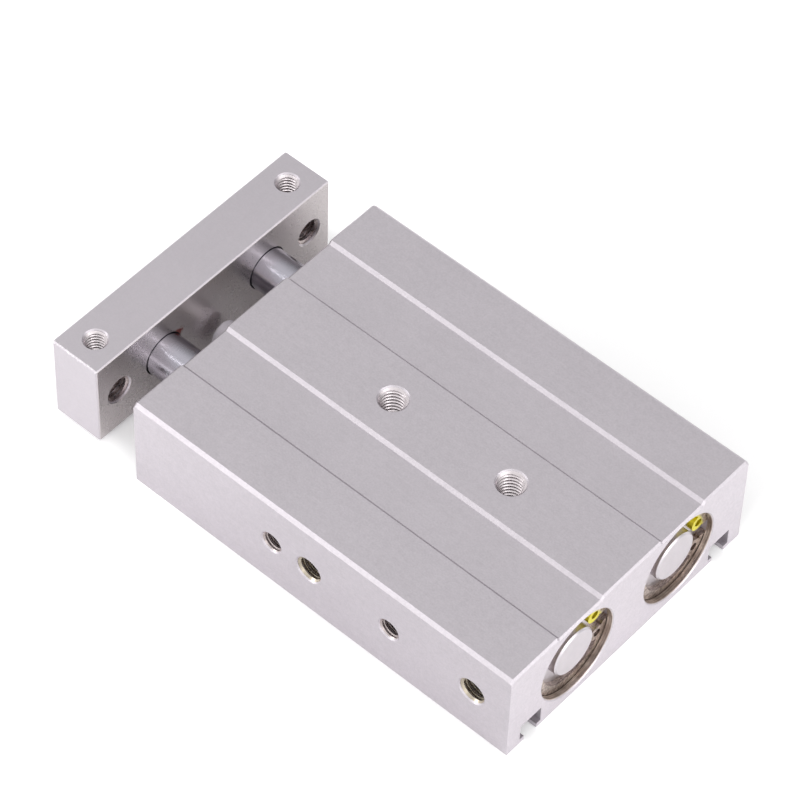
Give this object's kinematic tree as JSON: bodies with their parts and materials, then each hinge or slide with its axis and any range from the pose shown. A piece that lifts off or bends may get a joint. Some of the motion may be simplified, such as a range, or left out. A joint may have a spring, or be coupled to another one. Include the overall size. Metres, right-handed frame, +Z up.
{
  "type": "guided pneumatic cylinder",
  "caption": "Flat double-acting air cylinder with side-by-side bores whose rods move one end plate together; ports and mounting holes in the side, sensor slots below.",
  "frame": {"origin": "on the housing's underside, midway between its two mounting holes", "axes": "+X the way the rods come out, +Y towards the side with the air ports, +Z up out of the mounting face"},
  "size_m": [0.0993, 0.058, 0.02],
  "materials": {
    "anodised_housing": "fine bead-blasted, clear anodised, satin",
    "anodised_plate": "milled and clear anodised, satin",
    "cover_aluminium": "turned, satin",
    "piston_aluminium": "turned, satin",
    "hard_chrome": "hard chrome plated and polished",
    "screw_steel": "zinc plated",
    "stop_steel": "turned, satin",
    "plated_spring_steel": "yellow chromate over zinc",
    "bronze": "sintered, oil-impregnated",
    "rubber": "matt black",
    "polyurethane": "satin amber",
    "wear_plastic": "matt dark grey",
    "magnet_rubber": "matt dark brown",
    "stop_plastic": "pale grey-lilac, satin"
  },
  "bodies": {
    "housing_assembly": {"front_retaining_ring_left": "plated_spring_steel", "front_retaining_ring_right": "plated_spring_steel", "guide_bush_left": "bronze", "guide_bush_right": "bronze", "head_cover_left": "cover_aluminium", "head_cover_o_ring_left": "rubber", "head_cover_o_ring_right": "rubber", "head_cover_right": "cover_aluminium", "head_cushion_left": "polyurethane", "head_cushion_right": "polyurethane", "housing": "anodised_housing", "rear_retaining_ring_left": "plated_spring_steel", "rear_retaining_ring_right": "plated_spring_steel", "rod_cover_left": "cover_aluminium", "rod_cover_o_ring_left": "rubber", "rod_cover_o_ring_right": "rubber", "rod_cover_right": "cover_aluminium", "rod_cushion_left": "polyurethane", "rod_cushion_right": "polyurethane", "rod_seal_left": "rubber", "rod_seal_right": "rubber", "seal_retainer_left": "cover_aluminium", "seal_retainer_right": "cover_aluminium", "stop_pad": "stop_plastic", "stop_pin": "stop_steel"},
    "plate_and_rods": {"end_plate": "anodised_plate", "magnet_left": "magnet_rubber", "magnet_right": "magnet_rubber", "piston_left": "piston_aluminium", "piston_nut_left": "screw_steel", "piston_nut_right": "screw_steel", "piston_right": "piston_aluminium", "piston_seal_left": "rubber", "piston_seal_right": "rubber", "plate_screw_left": "screw_steel", "plate_screw_right": "screw_steel", "rod_left": "hard_chrome", "rod_right": "hard_chrome", "wear_ring_left": "wear_plastic", "wear_ring_right": "wear_plastic"}
  },
  "joints": [
    {"name": "rod_slide", "type": "slide", "parent": "housing_assembly", "child": "plate_and_rods", "axis": [1, 0, 0], "range_m": [-0.0012, 0.0188]}
  ]
}
